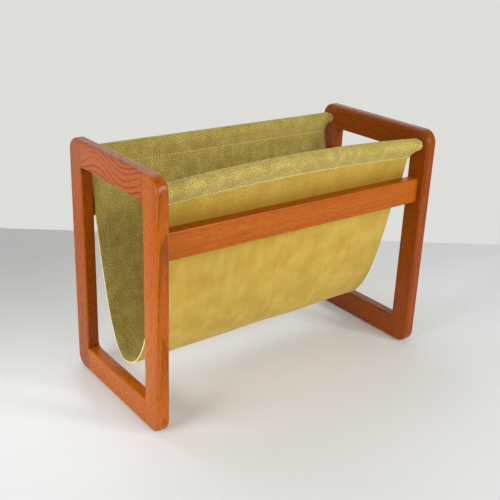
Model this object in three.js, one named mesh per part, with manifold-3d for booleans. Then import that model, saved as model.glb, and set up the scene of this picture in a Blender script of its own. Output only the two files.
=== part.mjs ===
// Magazine rack: two wooden end frames, two side rails, two dowel rods and a suede sling.
// Millimetres, +Z up. X runs along the rack from the left frame to the right, and -Y is the front.
// The origin is the centre of the footprint, on the floor.
import * as THREE from 'three'
import { mergeVertices } from 'three/addons/utils/BufferGeometryUtils.js'
import Module from 'manifold-3d'

// Overall sizes
const LENGTH = 500
const DEPTH = 244
const HEIGHT = 366

// End frames: two full-height posts, with a top and a bottom rail between them
const FRAME_THICKNESS = 19
const POST_WIDTH = 36
const TOP_RAIL_HEIGHT = 39
const BOTTOM_RAIL_HEIGHT = 40
const CORNER_RADIUS = 20
const OUTER_EDGE_ROUND = 4
const OPENING_EDGE_ROUND = 3

// Side rails, butted between the two frames
const SIDE_RAIL_HEIGHT = 39
const SIDE_RAIL_THICKNESS = 18
const SIDE_RAIL_INSET = 12
const SIDE_RAIL_DROP = 77
const SIDE_RAIL_EDGE_ROUND = 2

// Rods that carry the sling
const ROD_DIAMETER = 16
const ROD_INSET = 19
const ROD_DROP = 24
const FRONT_ROD_RISE = 9
const BACK_ROD_RISE = 0

// Glued pins
const PIN_DIAMETER = 6
const CORNER_PIN_LENGTH = 36
const SIDE_PIN_LENGTH = 28
const SIDE_PIN_POST_DEPTH = 11
const PIN_SPACING = 18
const PIN_CHAMFER = 0.6

// Sling
const SUEDE_THICKNESS = 2
const HEM_STITCH_DROP = 20
const HEM_FLAP = 5
const HEM_END_GAP = 2.5
const HEM_END_DROP = 5
const SLING_LEFT_GAP = 6
const SLING_RIGHT_GAP = 20
const POCKET_FLOOR_HEIGHT = 47
const POCKET_LEAN = 20
const FRONT_ENTRY = new THREE.Vector2(27, -68)
const BACK_ENTRY = new THREE.Vector2(0, -60)
const FRONT_BELLY = 80
const BACK_BELLY = 40

// Clearances
const GLUE_LINE = 0.1
const PIN_FIT = 0.15
const PIN_END_FIT = 1
const ROD_FIT = 0.15
const ROD_END_FIT = 0.3
const SOCKET_WEB = 0.5
const HEM_LOOSENESS = 0.4
const RAIL_CONTACT_GAP = 0.4

// How finely round shapes are faceted
const CORNER_SEGMENTS = 6
const EDGE_SEGMENTS = 3
const ROD_SEGMENTS = 16
const PIN_SEGMENTS = 10
const BOW_STEPS = 10
const POCKET_STEPS = 14
const EAR_STEPS = 4
const CUTTER_MARGIN = 5

// Places worked out from the sizes
const INNER_SPAN = LENGTH - 2 * FRAME_THICKNESS
const OPENING_HALF_DEPTH = DEPTH / 2 - POST_WIDTH
const OPENING_TOP = HEIGHT - TOP_RAIL_HEIGHT
const SIDE_RAIL_TOP = HEIGHT - SIDE_RAIL_DROP
const ROD_RADIUS = ROD_DIAMETER / 2
const ROD_HEIGHT = HEIGHT - ROD_DROP
const PIN_RADIUS = PIN_DIAMETER / 2
const ROD_SOCKET_DEPTH = FRAME_THICKNESS / 2 - PIN_RADIUS - SOCKET_WEB
const ROD_LENGTH = INNER_SPAN + 2 * (ROD_SOCKET_DEPTH - ROD_END_FIT)

const wasm = await Module()
wasm.setup()

const wood = { color: 0xa9572b, roughness: 0.45, metalness: 0 }
const paleWood = { color: 0xc99a5e, roughness: 0.6, metalness: 0 }
const suede = { color: 0xb39a45, roughness: 0.95, metalness: 0 }
const group = new THREE.Group()

// Adds one named piece to the rack.
function addPiece(name, geometry, look) {
  const mesh = new THREE.Mesh(geometry, new THREE.MeshStandardMaterial(look))
  mesh.name = name
  group.add(mesh)
}

// Turns a closed geometry into a solid that can be joined and cut.
function toSolid(geometry) {
  const bare = geometry.clone()
  bare.deleteAttribute('normal')
  bare.deleteAttribute('uv')
  const merged = mergeVertices(bare, 1e-4)
  const vertProperties = new Float32Array(merged.attributes.position.array)
  const triVerts = new Uint32Array(merged.index.array)
  return new wasm.Manifold(new wasm.Mesh({ numProp: 3, vertProperties, triVerts }))
}

// Turns a solid back into a geometry.
function toGeometry(solid) {
  const mesh = solid.getMesh()
  const geometry = new THREE.BufferGeometry()
  geometry.setAttribute('position', new THREE.BufferAttribute(mesh.vertProperties, 3))
  geometry.setIndex(new THREE.BufferAttribute(mesh.triVerts, 1))
  geometry.computeVertexNormals()
  return geometry
}

// A solid box between two corners.
function block(low, high) {
  const size = high.map((value, i) => value - low[i])
  const middle = high.map((value, i) => (value + low[i]) / 2)
  return toSolid(new THREE.BoxGeometry(...size).translate(...middle))
}

// Turns an extrusion of a (depth, height) outline so that it runs along X, from startX.
function alongX(geometry, startX) {
  const turn = new THREE.Matrix4().makeBasis(
    new THREE.Vector3(0, 1, 0),
    new THREE.Vector3(0, 0, 1),
    new THREE.Vector3(1, 0, 0)
  )
  return geometry.applyMatrix4(turn).translate(startX, 0, 0)
}

// A rectangle with rounded corners; a radius of 0 leaves them sharp.
function roundedRectangle(left, right, bottom, top, radius) {
  const shape = new THREE.Shape()
  if (radius === 0) {
    shape.moveTo(left, bottom)
    shape.lineTo(right, bottom)
    shape.lineTo(right, top)
    shape.lineTo(left, top)
    return shape
  }
  shape.absarc(right - radius, bottom + radius, radius, -Math.PI / 2, 0)
  shape.absarc(right - radius, top - radius, radius, 0, Math.PI / 2)
  shape.absarc(left + radius, top - radius, radius, Math.PI / 2, Math.PI)
  shape.absarc(left + radius, bottom + radius, radius, Math.PI, Math.PI * 1.5)
  return shape
}

// Extrudes a frame outline through the frame's thickness, with its edges rounded over.
function frameExtrusion(shape, edgeRound, startX) {
  const geometry = new THREE.ExtrudeGeometry(shape, {
    depth: FRAME_THICKNESS - 2 * edgeRound,
    curveSegments: CORNER_SEGMENTS,
    bevelThickness: edgeRound,
    bevelSize: edgeRound,
    bevelOffset: -edgeRound,
    bevelSegments: EDGE_SEGMENTS
  })
  return toSolid(alongX(geometry, startX + edgeRound))
}

// One whole end frame: its rounded outside, less its opening with eased edges.
function frameRing(startX) {
  const outside = roundedRectangle(-DEPTH / 2, DEPTH / 2, 0, HEIGHT, CORNER_RADIUS)
  const surround = roundedRectangle(-DEPTH, DEPTH, -HEIGHT, 2 * HEIGHT, 0)
  surround.holes.push(
    roundedRectangle(-OPENING_HALF_DEPTH, OPENING_HALF_DEPTH, BOTTOM_RAIL_HEIGHT, OPENING_TOP, 0)
  )
  const body = frameExtrusion(outside, OUTER_EDGE_ROUND, startX)
  return body.intersect(frameExtrusion(surround, OPENING_EDGE_ROUND, startX))
}

// A cylinder of one radius with its axis along the X or Y axis.
function cylinderAlong(axis, radius, length, centre, segments) {
  const geometry = new THREE.CylinderGeometry(radius, radius, length, segments)
  if (axis === 'x') geometry.rotateZ(-Math.PI / 2)
  return geometry.translate(...centre)
}

// A glued pin with chamfered ends, along the X or Y axis.
function pinGeometry(axis, length, centre) {
  const end = length / 2
  const profile = [
    new THREE.Vector2(0, -end),
    new THREE.Vector2(PIN_RADIUS - PIN_CHAMFER, -end),
    new THREE.Vector2(PIN_RADIUS, PIN_CHAMFER - end),
    new THREE.Vector2(PIN_RADIUS, end - PIN_CHAMFER),
    new THREE.Vector2(PIN_RADIUS - PIN_CHAMFER, end),
    new THREE.Vector2(0, end)
  ]
  const geometry = new THREE.LatheGeometry(profile, PIN_SEGMENTS)
  if (axis === 'x') geometry.rotateZ(-Math.PI / 2)
  return geometry.translate(...centre)
}

// The hole that a pin is glued into, a little wider and longer than the pin.
function pinHole(axis, length, centre) {
  return toSolid(
    cylinderAlong(axis, PIN_RADIUS + PIN_FIT, length + PIN_END_FIT, centre, PIN_SEGMENTS)
  )
}

// How much of its full rise a rod or hem has at a distance x from the middle of the rack.
function bowShare(x) {
  const share = Math.min(1, Math.abs(2 * x) / INNER_SPAN)
  return 1 - share ** 2
}

// Lifts a geometry along the bow; riseAt gives the full rise that applies to a point.
function bow(geometry, riseAt) {
  const position = geometry.attributes.position
  for (let i = 0; i < position.count; i += 1) {
    const point = new THREE.Vector3().fromBufferAttribute(position, i)
    position.setZ(i, point.z + riseAt(point) * bowShare(point.x))
  }
  geometry.computeVertexNormals()
  return geometry
}

const SIDES = [
  { name: 'left', sign: -1, frameStart: -LENGTH / 2 },
  { name: 'right', sign: 1, frameStart: LENGTH / 2 - FRAME_THICKNESS }
]
const FACES = [
  { name: 'front', sign: -1, rise: FRONT_ROD_RISE },
  { name: 'back', sign: 1, rise: BACK_ROD_RISE }
]
const LEVELS = [
  { name: 'top', middle: HEIGHT - TOP_RAIL_HEIGHT / 2, low: OPENING_TOP, high: HEIGHT },
  { name: 'bottom', middle: BOTTOM_RAIL_HEIGHT / 2, low: 0, high: BOTTOM_RAIL_HEIGHT }
]
const PIN_ROWS = [
  { name: 'upper', offset: PIN_SPACING / 2 },
  { name: 'lower', offset: -PIN_SPACING / 2 }
]

// The pins that hold the end of each frame rail in its post.
const cornerPins = SIDES.flatMap((side) => FACES.flatMap((face) => LEVELS.flatMap((level) =>
  PIN_ROWS.map((row) => ({
    name: `${side.name}_${face.name}_${level.name}_${row.name}_pin`,
    side,
    face,
    level,
    centre: [
      side.frameStart + FRAME_THICKNESS / 2,
      face.sign * OPENING_HALF_DEPTH,
      level.middle + row.offset
    ]
  }))
)))

// The pins that hold each end of a side rail in its post.
const sideRailMiddle = SIDE_RAIL_TOP - SIDE_RAIL_HEIGHT / 2
const sideRailCentre = DEPTH / 2 - SIDE_RAIL_INSET - SIDE_RAIL_THICKNESS / 2
const sidePins = SIDES.flatMap((side) => FACES.flatMap((face) => PIN_ROWS.map((row) => ({
  name: `${side.name}_${face.name}_side_${row.name}_pin`,
  side,
  face,
  centre: [
    side.sign * (INNER_SPAN / 2 + SIDE_PIN_POST_DEPTH - SIDE_PIN_LENGTH / 2),
    face.sign * sideRailCentre,
    sideRailMiddle + row.offset
  ]
}))))

// The end frames, each cut into two posts and two rails that meet at a glue line.
for (const side of SIDES) {
  const ring = frameRing(side.frameStart)
  const reachX = [side.frameStart - CUTTER_MARGIN, side.frameStart + FRAME_THICKNESS + CUTTER_MARGIN]
  for (const face of FACES) {
    const near = face.sign * OPENING_HALF_DEPTH
    const far = face.sign * (DEPTH / 2 + CUTTER_MARGIN)
    let post = ring.intersect(block(
      [reachX[0], Math.min(near, far), -CUTTER_MARGIN],
      [reachX[1], Math.max(near, far), HEIGHT + CUTTER_MARGIN]
    ))
    for (const pin of cornerPins.filter((each) => each.side === side && each.face === face)) {
      post = post.subtract(pinHole('y', CORNER_PIN_LENGTH, pin.centre))
    }
    for (const pin of sidePins.filter((each) => each.side === side && each.face === face)) {
      post = post.subtract(pinHole('x', SIDE_PIN_LENGTH, pin.centre))
    }
    const socketReach = ROD_SOCKET_DEPTH + CUTTER_MARGIN
    const socketX = side.sign * (INNER_SPAN / 2 + ROD_SOCKET_DEPTH - socketReach / 2)
    const socketY = face.sign * (DEPTH / 2 - ROD_INSET)
    post = post.subtract(toSolid(cylinderAlong(
      'x', ROD_RADIUS + ROD_FIT, socketReach, [socketX, socketY, ROD_HEIGHT], ROD_SEGMENTS
    )))
    addPiece(`${side.name}_${face.name}_post`, toGeometry(post), wood)
  }
  for (const level of LEVELS) {
    const halfLength = OPENING_HALF_DEPTH - GLUE_LINE
    let rail = ring.intersect(block(
      [reachX[0], -halfLength, level.low - CUTTER_MARGIN],
      [reachX[1], halfLength, level.high + CUTTER_MARGIN]
    ))
    for (const pin of cornerPins.filter((each) => each.side === side && each.level === level)) {
      rail = rail.subtract(pinHole('y', CORNER_PIN_LENGTH, pin.centre))
    }
    addPiece(`${side.name}_${level.name}_rail`, toGeometry(rail), wood)
  }
}

// The side rails, with slightly eased long edges.
for (const face of FACES) {
  const outer = face.sign * (DEPTH / 2 - SIDE_RAIL_INSET)
  const inner = outer - face.sign * SIDE_RAIL_THICKNESS
  const section = roundedRectangle(
    Math.min(outer, inner),
    Math.max(outer, inner),
    SIDE_RAIL_TOP - SIDE_RAIL_HEIGHT,
    SIDE_RAIL_TOP,
    SIDE_RAIL_EDGE_ROUND
  )
  const length = INNER_SPAN - 2 * GLUE_LINE
  const geometry = new THREE.ExtrudeGeometry(section, {
    depth: length,
    curveSegments: EDGE_SEGMENTS,
    bevelEnabled: false
  })
  let rail = toSolid(alongX(geometry, -length / 2))
  for (const pin of sidePins.filter((each) => each.face === face)) {
    rail = rail.subtract(pinHole('x', SIDE_PIN_LENGTH, pin.centre))
  }
  addPiece(`${face.name}_side_rail`, toGeometry(rail), wood)
}

for (const pin of cornerPins) {
  addPiece(pin.name, pinGeometry('y', CORNER_PIN_LENGTH, pin.centre), paleWood)
}
for (const pin of sidePins) {
  addPiece(pin.name, pinGeometry('x', SIDE_PIN_LENGTH, pin.centre), paleWood)
}

// The rods: straight where they sit in their sockets, and free to bow between the frames.
// The front one has a slight upward bow.
for (const face of FACES) {
  const profile = [new THREE.Vector2(0, -ROD_LENGTH / 2), new THREE.Vector2(ROD_RADIUS, -ROD_LENGTH / 2)]
  for (let step = 0; step <= BOW_STEPS; step += 1) {
    profile.push(new THREE.Vector2(ROD_RADIUS, INNER_SPAN * (step / BOW_STEPS - 1 / 2)))
  }
  profile.push(new THREE.Vector2(ROD_RADIUS, ROD_LENGTH / 2), new THREE.Vector2(0, ROD_LENGTH / 2))
  const geometry = new THREE.LatheGeometry(profile, ROD_SEGMENTS).rotateZ(-Math.PI / 2)
  geometry.translate(0, face.sign * (DEPTH / 2 - ROD_INSET), ROD_HEIGHT)
  addPiece(`${face.name}_rod`, bow(geometry, () => face.rise), paleWood)
}

// The sling: one sheet whose two hems are stitched round the rods.
// Below them it passes inside the side rails and hangs down as a pocket.
const hemOuterRadius = ROD_RADIUS + HEM_LOOSENESS + SUEDE_THICKNESS
const contactDepth = DEPTH / 2 - SIDE_RAIL_INSET - SIDE_RAIL_THICKNESS
  - RAIL_CONTACT_GAP - SUEDE_THICKNESS / 2
const pocketBottom = new THREE.Vector2(POCKET_LEAN, POCKET_FLOOR_HEIGHT + SUEDE_THICKNESS / 2)

// The sheet's middle line where it leaves the top inner edge of a side rail.
function contactPoint(face) {
  return new THREE.Vector2(face.sign * contactDepth, SIDE_RAIL_TOP)
}

// The direction in which the two layers of a hem run down from the rod.
function hemDirection(face) {
  const rod = new THREE.Vector2(face.sign * (DEPTH / 2 - ROD_INSET), ROD_HEIGHT)
  return { rod, down: contactPoint(face).sub(rod).normalize() }
}

// The middle line of one panel, from inside the hem to the bottom of the pocket.
function panelLine(face, entry, belly) {
  const { rod, down } = hemDirection(face)
  const contact = contactPoint(face)
  const start = rod.clone().addScaledVector(down, hemOuterRadius)
  const drop = new THREE.CubicBezierCurve(
    contact,
    contact.clone().add(entry),
    pocketBottom.clone().add(new THREE.Vector2(face.sign * belly, 0)),
    pocketBottom
  )
  return [start, ...drop.getSpacedPoints(POCKET_STEPS)]
}

// A strip of even thickness about a line of points.
function stripShape(line, thickness) {
  const offsets = line.map((point, i) => {
    const before = line[Math.max(0, i - 1)]
    const after = line[Math.min(line.length - 1, i + 1)]
    const along = after.clone().sub(before).normalize()
    return new THREE.Vector2(-along.y, along.x).multiplyScalar(thickness / 2)
  })
  const one = line.map((point, i) => point.clone().add(offsets[i]))
  const other = line.map((point, i) => point.clone().sub(offsets[i]))
  return new THREE.Shape([...one, ...other.reverse()])
}

// The section of one hem: round over the rod, closing to two layers below the stitches.
function hemShape(face) {
  const { rod, down } = hemDirection(face)
  const across = new THREE.Vector2(-down.y, down.x)
  const reach = HEM_STITCH_DROP + HEM_FLAP
  const flare = Math.acos((hemOuterRadius - SUEDE_THICKNESS) / reach)
  const downAngle = Math.atan2(down.y, down.x)
  const tip = rod.clone().addScaledVector(down, reach)
  const shape = new THREE.Shape()
  shape.absarc(rod.x, rod.y, hemOuterRadius, downAngle + flare, downAngle + 2 * Math.PI - flare)
  const oneSide = tip.clone().addScaledVector(across, -SUEDE_THICKNESS)
  const otherSide = tip.clone().addScaledVector(across, SUEDE_THICKNESS)
  shape.lineTo(oneSide.x, oneSide.y)
  shape.lineTo(otherSide.x, otherSide.y)
  const bore = new THREE.Path()
  bore.absarc(rod.x, rod.y, ROD_RADIUS + HEM_LOOSENESS, 0, 2 * Math.PI)
  shape.holes.push(bore)
  return shape
}

// Extrudes a section from frame to frame, and lifts the front hem with its rod.
function slingExtrusion(shape) {
  const geometry = new THREE.ExtrudeGeometry(shape, {
    depth: INNER_SPAN,
    steps: BOW_STEPS,
    curveSegments: ROD_SEGMENTS,
    bevelEnabled: false
  })
  const loopBottom = ROD_HEIGHT - hemOuterRadius
  const riseAt = (point) => {
    const face = point.y < 0 ? FACES[0] : FACES[1]
    return face.rise * THREE.MathUtils.smoothstep(point.z, SIDE_RAIL_TOP, loopBottom)
  }
  return toSolid(bow(alongX(geometry, -INNER_SPAN / 2), riseAt))
}

// The sheet's outline seen from the front: straight sides, and hems that widen to the rods.
function slingOutline() {
  const top = HEIGHT + FRONT_ROD_RISE
  const stitch = ROD_HEIGHT - HEM_STITCH_DROP
  const earBottom = ROD_HEIGHT - HEM_END_DROP
  const ear = INNER_SPAN / 2 - HEM_END_GAP
  const left = -INNER_SPAN / 2 + SLING_LEFT_GAP
  const right = INNER_SPAN / 2 - SLING_RIGHT_GAP
  const shape = new THREE.Shape()
  shape.moveTo(left, -CUTTER_MARGIN)
  shape.lineTo(right, -CUTTER_MARGIN)
  shape.lineTo(right, stitch)
  shape.quadraticCurveTo(right, earBottom, ear, earBottom)
  shape.lineTo(ear, top)
  shape.lineTo(-ear, top)
  shape.lineTo(-ear, earBottom)
  shape.quadraticCurveTo(left, earBottom, left, stitch)
  const geometry = new THREE.ExtrudeGeometry(shape, {
    depth: 2 * DEPTH,
    curveSegments: EAR_STEPS,
    bevelEnabled: false
  })
  return toSolid(geometry.rotateX(Math.PI / 2).translate(0, DEPTH, 0))
}

const pocketLine = [
  ...panelLine(FACES[0], FRONT_ENTRY, FRONT_BELLY),
  ...panelLine(FACES[1], BACK_ENTRY, BACK_BELLY).reverse().slice(1)
]
const sling = slingExtrusion(stripShape(pocketLine, SUEDE_THICKNESS))
  .add(slingExtrusion(hemShape(FACES[0])))
  .add(slingExtrusion(hemShape(FACES[1])))
  .intersect(slingOutline())
addPiece('sling', toGeometry(sling), suede)

export default group
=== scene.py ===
"""Looks of a magazine rack: two teak end frames, two teak side rails, two beech rods and a suede sling.

X runs along the rack from the left frame to the right, -Y is the front, and the floor is at Z = 0.
Sizes are in metres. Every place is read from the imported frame, and the shapes are worked out round it.
"""

import logging
import math
from dataclasses import dataclass
from enum import Enum
from typing import Any

import bpy
import numpy as np
from bpy.types import Material, NodeSocket, NodeTree, Object
from mathutils import Matrix, Vector


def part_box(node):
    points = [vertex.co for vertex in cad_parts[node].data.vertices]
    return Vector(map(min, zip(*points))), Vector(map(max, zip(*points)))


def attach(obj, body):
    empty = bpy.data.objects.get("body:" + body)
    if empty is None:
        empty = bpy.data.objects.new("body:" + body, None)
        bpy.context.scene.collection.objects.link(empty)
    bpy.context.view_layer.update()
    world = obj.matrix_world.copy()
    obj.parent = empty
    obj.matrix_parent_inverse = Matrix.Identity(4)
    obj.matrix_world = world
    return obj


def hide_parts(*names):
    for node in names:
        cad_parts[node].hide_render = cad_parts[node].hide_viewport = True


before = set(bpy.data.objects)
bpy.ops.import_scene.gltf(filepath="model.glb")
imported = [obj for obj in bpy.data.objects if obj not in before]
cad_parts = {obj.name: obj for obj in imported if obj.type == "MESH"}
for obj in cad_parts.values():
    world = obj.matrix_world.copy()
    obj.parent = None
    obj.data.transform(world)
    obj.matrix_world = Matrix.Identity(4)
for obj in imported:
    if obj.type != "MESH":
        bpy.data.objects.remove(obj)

MM = 0.001
FULL_TURN = 2 * math.pi
QUARTER_TURN = math.pi / 2
SEED = 41
# Steps round a quarter of a rounded edge.
ROUND_STEPS = 7
SHARP_ANGLE = math.radians(40)
# Nearly all of a noise texture's values lie in this span.
NOISE_SPAN = (0.3, 0.7)
# The wave texture turns by this many radians in one unit when its scale is 1.
WAVE_RADIANS = 20
# Where stitches come out of a sheet: points along the row, and the unit normals there.
StitchLine = tuple[np.ndarray, np.ndarray]

log = logging.getLogger("magazine_rack")


# ---------------------------------------------------------------- colour and nodes


def linear(hex_colour: str) -> tuple[float, float, float, float]:
    """Turns an sRGB hex colour into the linear RGBA that a socket takes.

    Args:
        hex_colour: six hex digits with a leading #.

    Returns:
        Linear red, green, blue and an alpha of 1.
    """
    channels = [int(hex_colour[i : i + 2], 16) / 255 for i in (1, 3, 5)]
    return (*[c / 12.92 if c <= 0.04045 else ((c + 0.055) / 1.055) ** 2.4 for c in channels], 1.0)


def add_node(
    tree: NodeTree,
    kind: str,
    inputs: dict[str | int, Any] | list[Any],
    output: str | int = 0,
    **settings: Any,
) -> NodeSocket | None:
    """Adds one node with its settings, its constants and its links.

    On a Mix node, input 0 is the share of the second value, 2 and 3 are the two numbers to mix, and 6
    and 7 are the two colours.

    Args:
        tree: the node tree it goes in.
        kind: the node's type name after "ShaderNode".
        inputs: a constant or a feeding socket for each input, by name or number, or as a list in
            the order of the node's own inputs.
        output: the output that is wanted.
        settings: the node's own properties.

    Returns:
        That output's socket, or nothing for a node that has no outputs.
    """
    node = tree.nodes.new(f"ShaderNode{kind}")
    for name, value in settings.items():
        setattr(node, name, value)
    for key, value in inputs.items() if isinstance(inputs, dict) else enumerate(inputs):
        if isinstance(value, NodeSocket):
            tree.links.new(value, node.inputs[key])
        else:
            node.inputs[key].default_value = value
    return node.outputs[output] if node.outputs else None


def new_material(name: str) -> tuple[Material, NodeTree]:
    """Makes an empty node material.

    Args:
        name: the finish's name.

    Returns:
        The material and its cleared node tree.
    """
    material = bpy.data.materials.new(name)
    material.use_nodes = True
    material.node_tree.nodes.clear()
    return material, material.node_tree


# ---------------------------------------------------------------- finishes


class GrainRun(Enum):
    """Which way a piece's grain runs: the turn that takes the stem from upright to that way."""

    UP = (0.0, 0.0, 0.0)
    DEPTH = (QUARTER_TURN, 0.0, 0.0)
    ALONG = (0.0, QUARTER_TURN, 0.0)


@dataclass(frozen=True)
class OiledTeak:
    """Teak, planed, sanded and oiled: orange-brown, darker late wood lines, fine dark pores, soft gloss.

    The growth rings are tubes round the stem's middle line, the pith, so each piece shows its own
    figure. Wander roughens the rings, sway bends the stem, and late wood starts at line_start of a ring.
    """

    name: str
    run: GrainRun
    pith: tuple[float, float, float]
    lean: tuple[float, float, float]
    ring_width: float
    ring_depth: float
    wander: float = 2.5
    sway: float = 0.6 * MM
    sway_length: float = 260 * MM
    line_start: float = 0.35
    early: str = "#B15D08"
    early_red: str = "#9A4703"
    late: str = "#551E05"
    stretch: float = 12.0
    patch_width: float = 26 * MM
    patch_span: tuple[float, float] = (0.35, 0.65)
    patch_least: float = 0.25
    fibre_width: float = 0.9 * MM
    fibre_tones: tuple[float, float] = (0.76, 1.2)
    pore_width: float = 0.7 * MM
    pore_span: tuple[float, float] = (0.6, 0.72)
    pore_tone: float = 0.75
    pore_depth: float = 0.08 * MM
    roughness: tuple[float, float] = (0.24, 0.36)

    def material(self) -> Material:
        """Builds the material.

        Ring phase is the distance from the stem's middle line over the ring width, plus a slow sine
        along the stem. Each ring darkens slowly to its late wood line and then starts pale again.

        Returns:
            The material of this cut.
        """
        material, tree = new_material(f"oiled_teak_{self.name}")
        place = add_node(tree, "TexCoord", {}, "Object")
        turn = tuple(a + b for a, b in zip(self.run.value, self.lean, strict=True))
        stem = add_node(
            tree, "Mapping", [place, self.pith, turn, (1, 1, self.stretch)], vector_type="TEXTURE"
        )
        along = add_node(tree, "SeparateXYZ", [stem], "Z")
        turns = FULL_TURN * self.stretch / self.sway_length
        angle = add_node(tree, "Math", [along, turns], operation="MULTIPLY")
        sine = add_node(tree, "Math", [angle], operation="SINE")
        sway_phase = FULL_TURN * self.sway / self.ring_width
        shift = add_node(tree, "Math", [sine, sway_phase], operation="MULTIPLY")
        rings = add_node(
            tree,
            "TexWave",
            {
                "Vector": stem,
                "Scale": FULL_TURN / WAVE_RADIANS / self.ring_width,
                "Distortion": self.wander,
                "Detail": 2.0,
                "Detail Scale": 0.9,
                "Phase Offset": shift,
            },
            "Fac",
            wave_type="RINGS",
            rings_direction="Z",
            wave_profile="SAW",
        )
        line = add_node(
            tree,
            "MapRange",
            [rings, self.line_start, 1.0, 0.0, self.ring_depth],
            interpolation_type="SMOOTHSTEP",
        )
        patch = add_node(tree, "TexNoise", {"Vector": stem, "Scale": 1 / self.patch_width}, "Fac")
        patch_share = add_node(tree, "MapRange", [patch, *self.patch_span, self.patch_least, 1.0])
        ring_mix = add_node(tree, "Math", [line, patch_share], operation="MULTIPLY")
        early = {0: patch, 6: linear(self.early), 7: linear(self.early_red)}
        ground = add_node(tree, "Mix", early, 2, data_type="RGBA")
        late = {0: ring_mix, 6: ground, 7: linear(self.late)}
        ringed = add_node(tree, "Mix", late, 2, data_type="RGBA")
        fine = {"Vector": stem, "Scale": 1 / self.fibre_width, "Detail": 3.0}
        fibre = add_node(tree, "TexNoise", fine, "Fac")
        fibre_tone = add_node(tree, "MapRange", [fibre, *NOISE_SPAN, *self.fibre_tones])
        # Teak's pores are about 0.3 mm wide; they are drawn at 0.7 mm so that they show.
        dashes = {"Vector": stem, "Scale": 1 / self.pore_width, "Detail": 1.0, "Distortion": 0.2}
        pores = add_node(
            tree,
            "MapRange",
            [add_node(tree, "TexNoise", dashes, "Fac"), *self.pore_span, 1.0, self.pore_tone],
            interpolation_type="SMOOTHSTEP",
        )
        tone = add_node(tree, "Math", [fibre_tone, pores], operation="MULTIPLY")
        colour = add_node(tree, "VectorMath", {0: ringed, "Scale": tone}, operation="SCALE")
        gloss = add_node(tree, "MapRange", [fibre, *NOISE_SPAN, *self.roughness])
        bump = add_node(tree, "Bump", {"Height": pores, "Strength": 0.35, "Distance": self.pore_depth})
        shader = add_node(
            tree,
            "BsdfPrincipled",
            {
                "Base Color": colour,
                "Roughness": gloss,
                "Normal": bump,
                "IOR": 1.5,
                "Specular IOR Level": 0.2,
            },
        )
        add_node(tree, "OutputMaterial", {"Surface": shader})
        return material


@dataclass(frozen=True)
class SandedBeech:
    """Beech dowel, turned and sanded, left bare: pale tan with short darker flecks along the grain, matt."""

    name: str = "sanded_beech"
    pale: str = "#D8AE72"
    fleck: str = "#B07F45"
    fleck_width: float = 0.8 * MM
    fleck_span: tuple[float, float] = (0.45, 0.75)
    relief: float = 0.06 * MM
    stretch: float = 8.0

    def material(self) -> Material:
        """Builds the material: a noise stretched along the rod marks the flecks.

        Returns:
            The material.
        """
        material, tree = new_material(self.name)
        place = add_node(tree, "TexCoord", {}, "Object")
        stretched = {"Vector": place, "Scale": (self.stretch, 1, 1)}
        stem = add_node(tree, "Mapping", stretched, vector_type="TEXTURE")
        noise = add_node(tree, "TexNoise", {"Vector": stem, "Scale": 1 / self.fleck_width}, "Fac")
        share = add_node(tree, "MapRange", [noise, *self.fleck_span], interpolation_type="SMOOTHSTEP")
        tones = {0: share, 6: linear(self.pale), 7: linear(self.fleck)}
        colour = add_node(tree, "Mix", tones, 2, data_type="RGBA")
        bump = add_node(tree, "Bump", {"Height": noise, "Strength": 0.3, "Distance": self.relief})
        look = {"Base Color": colour, "Roughness": 0.6, "Normal": bump, "IOR": 1.5}
        add_node(tree, "OutputMaterial", {"Surface": add_node(tree, "BsdfPrincipled", look)})
        return material


@dataclass(frozen=True)
class ShadeAndNapBand:
    """Suede where the sling bends in over the side rail: painted shade, and a more speckled nap.

    The painted shade is strongest at one height and fades out over the reach on both sides of it.
    The speckle grows over half the reach below that height, and stays grown above it.
    """

    height: float = 0.285
    # Painted shade: the suede's colour is multiplied by this where the sheet bends in above the rail.
    tone: str = "#CFB66E"
    reach: float = 38 * MM
    speckle: float = 0.8

    def over(
        self, tree: NodeTree, ground: NodeSocket, speckle: float
    ) -> tuple[NodeSocket, NodeSocket]:
        """Lays the band's painted shade and speckle over a ground colour.

        Args:
            tree: the material's node tree.
            ground: the colour below it.
            speckle: strength of the speckle away from the band.

        Returns:
            The colour and the strength of the speckle.
        """
        height = add_node(tree, "SeparateXYZ", [add_node(tree, "TexCoord", {}, "Object")], "Z")
        above = add_node(tree, "Math", [height, self.height], operation="SUBTRACT")
        away = add_node(tree, "Math", [above], operation="ABSOLUTE")
        # Painted shade: full at the band's height, gone at the reach.
        painted_shade_share = add_node(tree, "MapRange", [away, self.reach, 0.0], interpolation_type="SMOOTHSTEP")
        tones = {0: painted_shade_share, 6: ground, 7: linear(self.tone)}
        toned = add_node(tree, "Mix", tones, 2, data_type="RGBA", blend_type="MULTIPLY")
        grown = add_node(tree, "MapRange", [above, -self.reach / 2, 0.0, speckle, self.speckle])
        return toned, grown


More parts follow.
